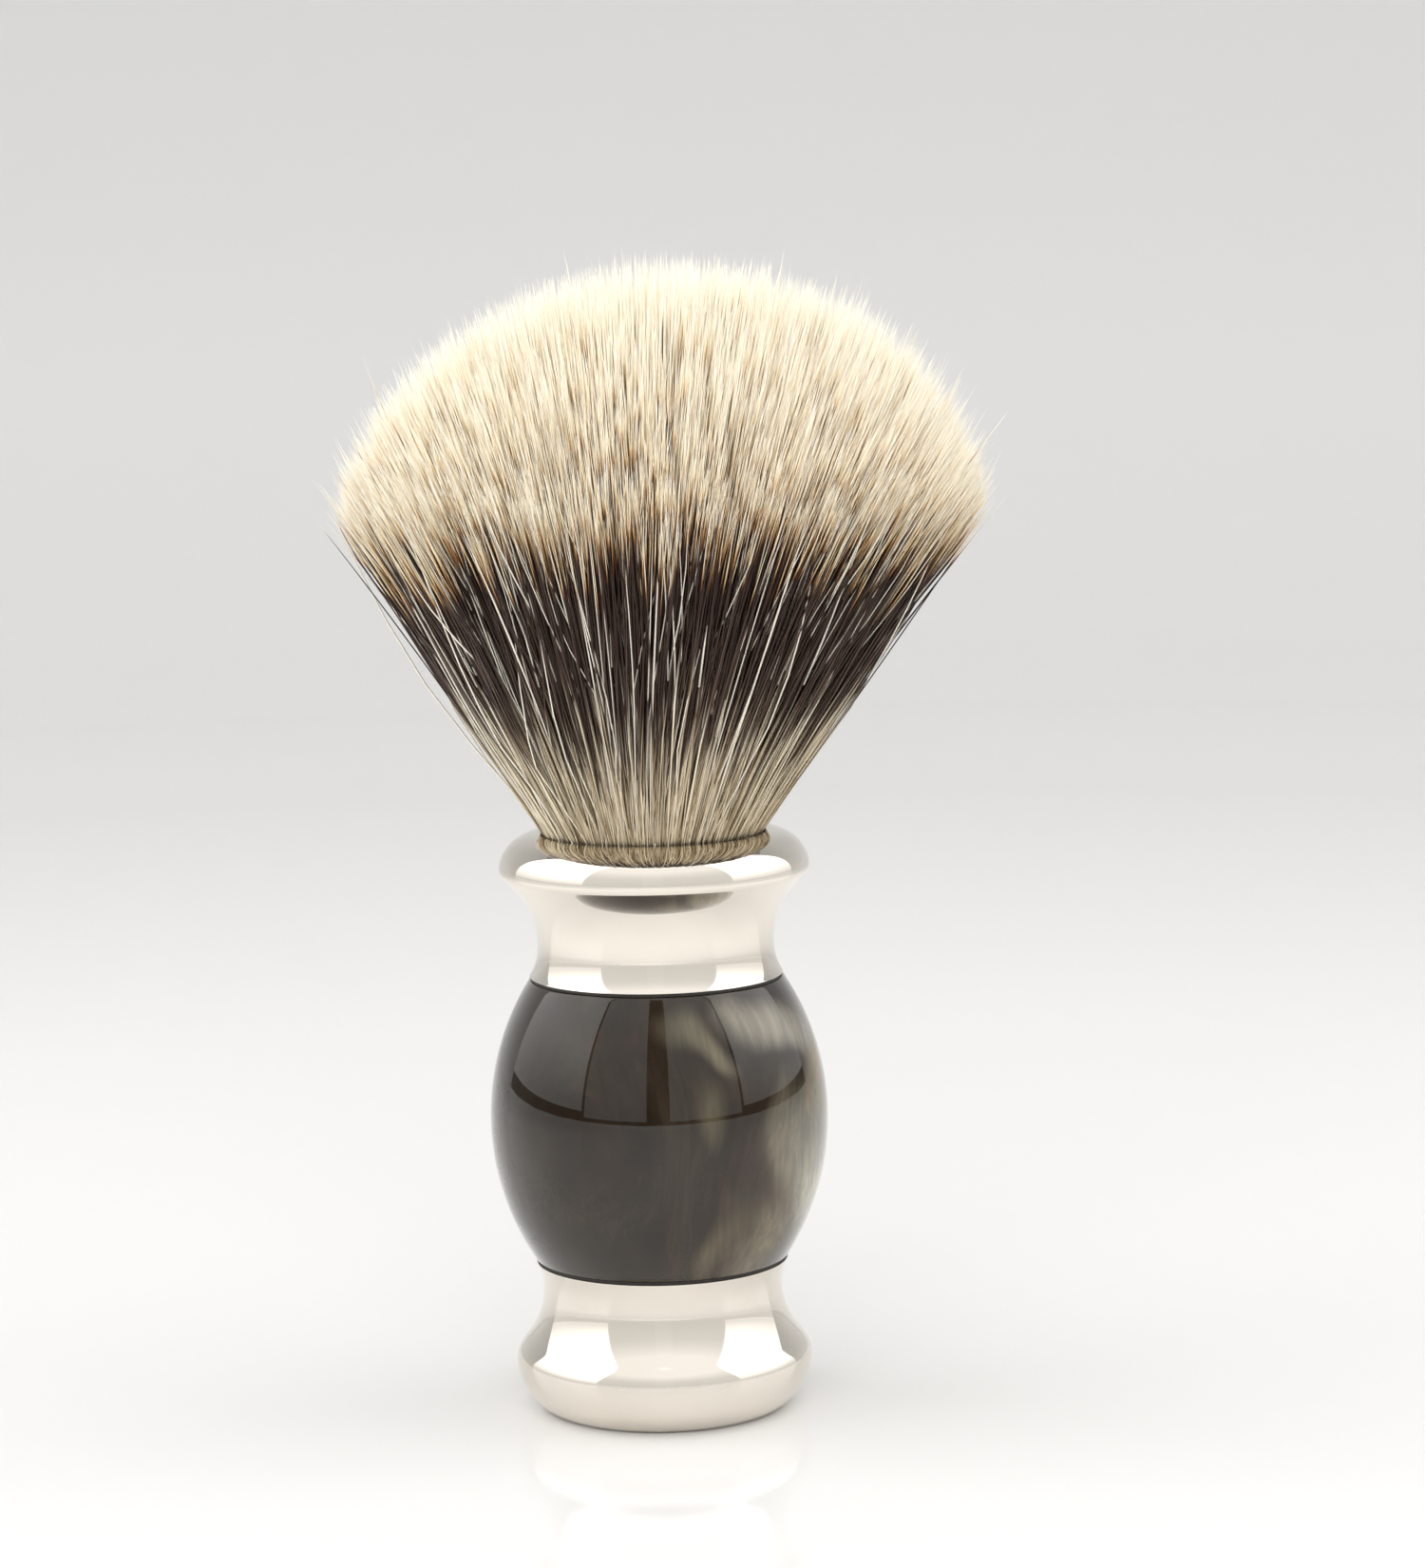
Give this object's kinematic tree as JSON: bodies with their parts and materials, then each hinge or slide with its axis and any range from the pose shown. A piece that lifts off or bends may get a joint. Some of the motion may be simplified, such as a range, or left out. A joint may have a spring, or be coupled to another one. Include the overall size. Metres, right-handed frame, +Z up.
{
  "type": "shaving brush",
  "caption": "Shaving brush: domed badger-hair knot in a polished metal collar, bulging horn-look resin grip and a flared metal foot.",
  "frame": {"origin": "centre of the ring that the brush stands on, at table height", "axes": "+Z up along the handle's axis towards the hair; -Y is the side that faces a viewer in front; +X is that viewer's right"},
  "size_m": [0.0596, 0.0596, 0.1056],
  "materials": {
    "polished_chrome": "mirror polished bright plating over turned metal",
    "horn_resin": "polished imitation horn, dark grey-brown with olive, brown and cream streaks",
    "plated_steel": "bright zinc plating",
    "black_seal": "matt black",
    "set_resin": "set amber glue",
    "waxed_twine": "waxed three-ply twine",
    "badger_hair": "three-band hair: sandy root, dark brown band, cream tips",
    "base_felt": "pressed black felt"
  },
  "bodies": {
    "handle": {"foot": "polished_chrome", "base_disc": "base_felt", "barrel": "horn_resin", "collar": "polished_chrome", "upper_seal": "black_seal", "lower_seal": "black_seal", "tie_stud": "plated_steel", "flat_washer": "plated_steel", "lock_washer": "plated_steel", "stud_nut": "plated_steel", "knot_plug": "set_resin", "knot_tie": "waxed_twine", "hair_root": "badger_hair"},
    "bloom": {"hair_bloom": "badger_hair"}
  },
  "joints": [
    {"name": "knot_flex", "type": "hinge", "parent": "handle", "child": "bloom", "pos_m": [0, 0, 0.0535], "axis": [0, 1, 0], "range_deg": [-25, 25], "stiffness_Nm_per_rad": 0.23}
  ]
}
